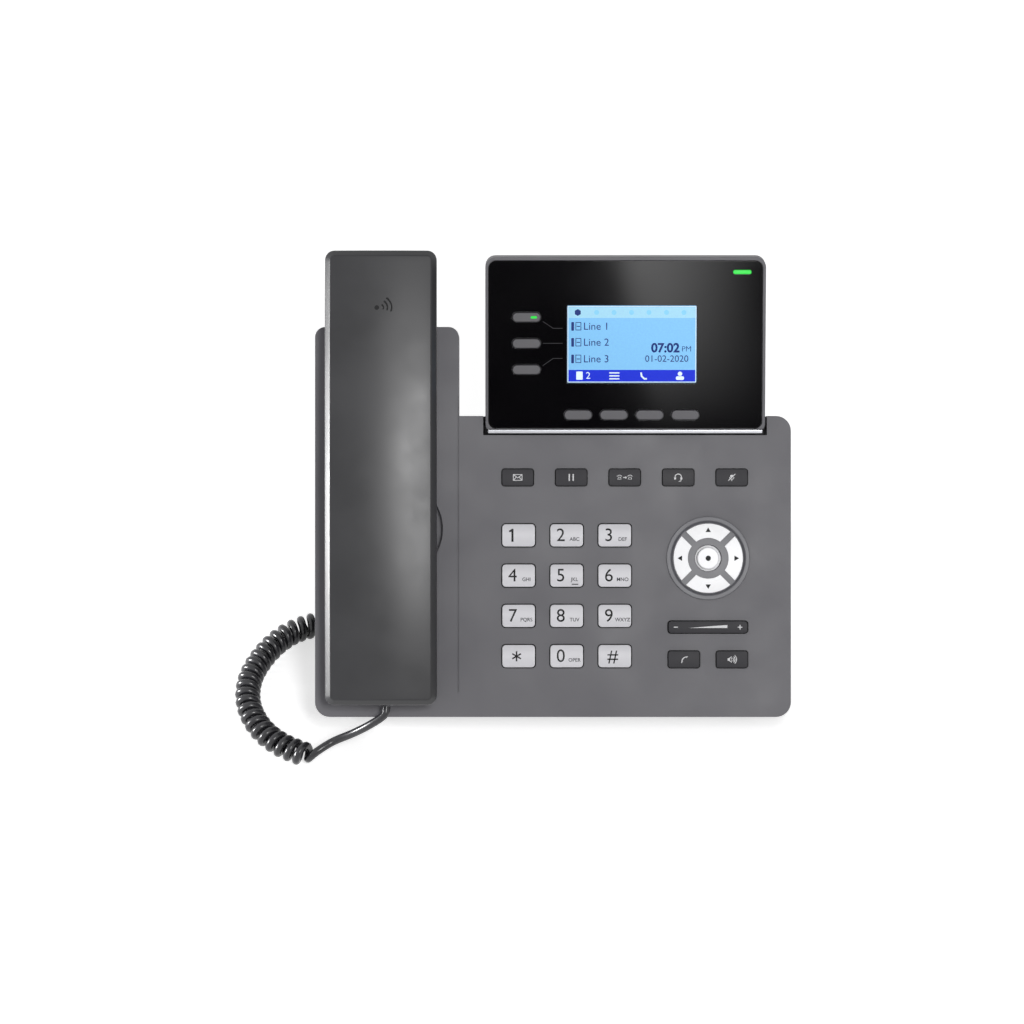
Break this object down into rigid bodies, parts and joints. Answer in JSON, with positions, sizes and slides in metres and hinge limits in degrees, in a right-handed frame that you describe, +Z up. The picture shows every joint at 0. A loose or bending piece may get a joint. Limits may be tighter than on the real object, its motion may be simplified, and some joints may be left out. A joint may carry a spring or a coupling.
{
  "type": "desk IP phone",
  "caption": "Wedge-shaped desk phone with a corded handset in a side cradle, a raised tilted display, keypad, navigation ring and clip-on stand.",
  "frame": {"origin": "on the desk under the middle of the phone, without its cord", "axes": "+Z up, +X to the user's right, the user sits at -Y"},
  "size_m": [0.2443, 0.1677, 0.17],
  "materials": {
    "deck_plastic": "fine-grained matte",
    "back_plastic": "fine-grained matte",
    "handset_plastic": "satin",
    "number_key_plastic": "satin",
    "dark_key_plastic": "satin",
    "grey_key_plastic": "satin",
    "white_key_plastic": "satin",
    "bezel_plastic": "semi-gloss",
    "black_gloss": "high gloss",
    "silver_trim": "polished",
    "lcd": "backlit",
    "green_light": "lit",
    "circuit_board": "solder mask",
    "silicone": "matte",
    "black_parts": "matte",
    "jack_metal": "plated",
    "foot_rubber": "matte",
    "cord_jacket": "gloss",
    "plug_plastic": "clear polycarbonate"
  },
  "bodies": {
    "housing": {"audio_jacks": "black_parts", "base_foot": "foot_rubber", "bottom_cover": "back_plastic", "cord_coil": "cord_jacket", "cord_lead": "cord_jacket", "cord_tail": "cord_jacket", "display_panel": "black_gloss", "display_shell": "deck_plastic", "display_trim": "silver_trim", "keypad_membrane": "silicone", "lcd_module": "lcd", "loudspeaker": "black_parts", "main_board": "circuit_board", "message_light": "green_light", "nav_bezel": "bezel_plastic", "network_jacks": "jack_metal", "plug_base": "plug_plastic", "power_jack": "black_parts", "top_cover": "deck_plastic"},
    "key_0": {"key_0": "number_key_plastic"},
    "key_1": {"key_1": "number_key_plastic"},
    "key_2": {"key_2": "number_key_plastic"},
    "key_3": {"key_3": "number_key_plastic"},
    "key_4": {"key_4": "number_key_plastic"},
    "key_5": {"key_5": "number_key_plastic"},
    "key_6": {"key_6": "number_key_plastic"},
    "key_7": {"key_7": "number_key_plastic"},
    "key_8": {"key_8": "number_key_plastic"},
    "key_9": {"key_9": "number_key_plastic"},
    "key_star": {"key_star": "number_key_plastic"},
    "key_pound": {"key_pound": "number_key_plastic"},
    "message_key": {"message_key": "dark_key_plastic"},
    "hold_key": {"hold_key": "dark_key_plastic"},
    "transfer_key": {"transfer_key": "dark_key_plastic"},
    "headset_key": {"headset_key": "dark_key_plastic"},
    "mute_key": {"mute_key": "dark_key_plastic"},
    "send_key": {"send_key": "dark_key_plastic"},
    "speaker_key": {"speaker_key": "dark_key_plastic"},
    "nav_up": {"nav_up": "white_key_plastic"},
    "nav_down": {"nav_down": "white_key_plastic"},
    "nav_left": {"nav_left": "white_key_plastic"},
    "nav_right": {"nav_right": "white_key_plastic"},
    "nav_ok": {"nav_ok": "white_key_plastic"},
    "softkey_1": {"softkey_1": "grey_key_plastic"},
    "softkey_2": {"softkey_2": "grey_key_plastic"},
    "softkey_3": {"softkey_3": "grey_key_plastic"},
    "softkey_4": {"softkey_4": "grey_key_plastic"},
    "line_key_1": {"line_key_1": "grey_key_plastic"},
    "line_key_2": {"line_key_2": "grey_key_plastic"},
    "line_key_3": {"line_key_3": "grey_key_plastic"},
    "volume_rocker": {"volume_rocker": "grey_key_plastic"},
    "handset": {"handset_outer_shell": "handset_plastic", "handset_inner_shell": "handset_plastic", "handset_receiver": "black_parts", "handset_microphone": "black_parts", "plug_handset": "plug_plastic"},
    "hook_plunger": {"hook_plunger": "black_parts"},
    "retention_tab": {"retention_tab": "handset_plastic"},
    "stand": {"stand": "back_plastic", "stand_foot": "foot_rubber"}
  },
  "joints": [
    {"name": "key_0_press", "type": "slide", "parent": "housing", "child": "key_0", "axis": [0, 0.6691, -0.7431], "range_m": [0, 0.0012], "stiffness_N_per_m": 500, "springref_m": -0.0004},
    {"name": "key_1_press", "type": "slide", "parent": "housing", "child": "key_1", "axis": [0, 0.6691, -0.7431], "range_m": [0, 0.0012], "stiffness_N_per_m": 500, "springref_m": -0.0004},
    {"name": "key_2_press", "type": "slide", "parent": "housing", "child": "key_2", "axis": [0, 0.6691, -0.7431], "range_m": [0, 0.0012], "stiffness_N_per_m": 500, "springref_m": -0.0004},
    {"name": "key_3_press", "type": "slide", "parent": "housing", "child": "key_3", "axis": [0, 0.6691, -0.7431], "range_m": [0, 0.0012], "stiffness_N_per_m": 500, "springref_m": -0.0004},
    {"name": "key_4_press", "type": "slide", "parent": "housing", "child": "key_4", "axis": [0, 0.6691, -0.7431], "range_m": [0, 0.0012], "stiffness_N_per_m": 500, "springref_m": -0.0004},
    {"name": "key_5_press", "type": "slide", "parent": "housing", "child": "key_5", "axis": [0, 0.6691, -0.7431], "range_m": [0, 0.0012], "stiffness_N_per_m": 500, "springref_m": -0.0004},
    {"name": "key_6_press", "type": "slide", "parent": "housing", "child": "key_6", "axis": [0, 0.6691, -0.7431], "range_m": [0, 0.0012], "stiffness_N_per_m": 500, "springref_m": -0.0004},
    {"name": "key_7_press", "type": "slide", "parent": "housing", "child": "key_7", "axis": [0, 0.6691, -0.7431], "range_m": [0, 0.0012], "stiffness_N_per_m": 500, "springref_m": -0.0004},
    {"name": "key_8_press", "type": "slide", "parent": "housing", "child": "key_8", "axis": [0, 0.6691, -0.7431], "range_m": [0, 0.0012], "stiffness_N_per_m": 500, "springref_m": -0.0004},
    {"name": "key_9_press", "type": "slide", "parent": "housing", "child": "key_9", "axis": [0, 0.6691, -0.7431], "range_m": [0, 0.0012], "stiffness_N_per_m": 500, "springref_m": -0.0004},
    {"name": "key_star_press", "type": "slide", "parent": "housing", "child": "key_star", "axis": [0, 0.6691, -0.7431], "range_m": [0, 0.0012], "stiffness_N_per_m": 500, "springref_m": -0.0004},
    {"name": "key_pound_press", "type": "slide", "parent": "housing", "child": "key_pound", "axis": [0, 0.6691, -0.7431], "range_m": [0, 0.0012], "stiffness_N_per_m": 500, "springref_m": -0.0004},
    {"name": "message_key_press", "type": "slide", "parent": "housing", "child": "message_key", "axis": [0, 0.6691, -0.7431], "range_m": [0, 0.0012], "stiffness_N_per_m": 500, "springref_m": -0.0004},
    {"name": "hold_key_press", "type": "slide", "parent": "housing", "child": "hold_key", "axis": [0, 0.6691, -0.7431], "range_m": [0, 0.0012], "stiffness_N_per_m": 500, "springref_m": -0.0004},
    {"name": "transfer_key_press", "type": "slide", "parent": "housing", "child": "transfer_key", "axis": [0, 0.6691, -0.7431], "range_m": [0, 0.0012], "stiffness_N_per_m": 500, "springref_m": -0.0004},
    {"name": "headset_key_press", "type": "slide", "parent": "housing", "child": "headset_key", "axis": [0, 0.6691, -0.7431], "range_m": [0, 0.0012], "stiffness_N_per_m": 500, "springref_m": -0.0004},
    {"name": "mute_key_press", "type": "slide", "parent": "housing", "child": "mute_key", "axis": [0, 0.6691, -0.7431], "range_m": [0, 0.0012], "stiffness_N_per_m": 500, "springref_m": -0.0004},
    {"name": "send_key_press", "type": "slide", "parent": "housing", "child": "send_key", "axis": [0, 0.6691, -0.7431], "range_m": [0, 0.0012], "stiffness_N_per_m": 500, "springref_m": -0.0004},
    {"name": "speaker_key_press", "type": "slide", "parent": "housing", "child": "speaker_key", "axis": [0, 0.6691, -0.7431], "range_m": [0, 0.0012], "stiffness_N_per_m": 500, "springref_m": -0.0004},
    {"name": "nav_up_press", "type": "slide", "parent": "housing", "child": "nav_up", "axis": [0, 0.6691, -0.7431], "range_m": [0, 0.001], "stiffness_N_per_m": 500, "springref_m": -0.0004},
    {"name": "nav_down_press", "type": "slide", "parent": "housing", "child": "nav_down", "axis": [0, 0.6691, -0.7431], "range_m": [0, 0.001], "stiffness_N_per_m": 500, "springref_m": -0.0004},
    {"name": "nav_left_press", "type": "slide", "parent": "housing", "child": "nav_left", "axis": [0, 0.6691, -0.7431], "range_m": [0, 0.001], "stiffness_N_per_m": 500, "springref_m": -0.0004},
    {"name": "nav_right_press", "type": "slide", "parent": "housing", "child": "nav_right", "axis": [0, 0.6691, -0.7431], "range_m": [0, 0.001], "stiffness_N_per_m": 500, "springref_m": -0.0004},
    {"name": "nav_ok_press", "type": "slide", "parent": "housing", "child": "nav_ok", "axis": [0, 0.6691, -0.7431], "range_m": [0, 0.001], "stiffness_N_per_m": 500, "springref_m": -0.0004},
    {"name": "softkey_1_press", "type": "slide", "parent": "housing", "child": "softkey_1", "axis": [0, 0.7771, -0.6293], "range_m": [0, 0.0008], "stiffness_N_per_m": 500, "springref_m": -0.0004},
    {"name": "softkey_2_press", "type": "slide", "parent": "housing", "child": "softkey_2", "axis": [0, 0.7771, -0.6293], "range_m": [0, 0.0008], "stiffness_N_per_m": 500, "springref_m": -0.0004},
    {"name": "softkey_3_press", "type": "slide", "parent": "housing", "child": "softkey_3", "axis": [0, 0.7771, -0.6293], "range_m": [0, 0.0008], "stiffness_N_per_m": 500, "springref_m": -0.0004},
    {"name": "softkey_4_press", "type": "slide", "parent": "housing", "child": "softkey_4", "axis": [0, 0.7771, -0.6293], "range_m": [0, 0.0008], "stiffness_N_per_m": 500, "springref_m": -0.0004},
    {"name": "line_key_1_press", "type": "slide", "parent": "housing", "child": "line_key_1", "axis": [0, 0.7771, -0.6293], "range_m": [0, 0.0008], "stiffness_N_per_m": 500, "springref_m": -0.0004},
    {"name": "line_key_2_press", "type": "slide", "parent": "housing", "child": "line_key_2", "axis": [0, 0.7771, -0.6293], "range_m": [0, 0.0008], "stiffness_N_per_m": 500, "springref_m": -0.0004},
    {"name": "line_key_3_press", "type": "slide", "parent": "housing", "child": "line_key_3", "axis": [0, 0.7771, -0.6293], "range_m": [0, 0.0008], "stiffness_N_per_m": 500, "springref_m": -0.0004},
    {"name": "volume_rock", "type": "hinge", "parent": "housing", "child": "volume_rocker", "pos_m": [0.0677, -0.04097, 0.04462], "axis": [0, 0.7431, 0.6691], "range_deg": [-2, 2], "stiffness_Nm_per_rad": 0.8},
    {"name": "handset_lift", "type": "slide", "parent": "housing", "child": "handset", "axis": [0, -0.6691, 0.7431], "range_m": [0, 0.06]},
    {"name": "hook_rise", "type": "slide", "parent": "housing", "child": "hook_plunger", "axis": [0, -0.6691, 0.7431], "range_m": [0, 0.003]},
    {"name": "tab_turn", "type": "hinge", "parent": "housing", "child": "retention_tab", "pos_m": [-0.0749, 0.02303, 0.10565], "axis": [0, -0.6691, 0.7431], "range_deg": [0, 180]},
    {"name": "stand_release", "type": "slide", "parent": "housing", "child": "stand", "axis": [0, -0.7431, -0.6691], "range_m": [0, 0.008]}
  ],
  "couplings": [
    {"joint": "hook_rise", "follows": "handset_lift", "ratio": 0.05}
  ]
}
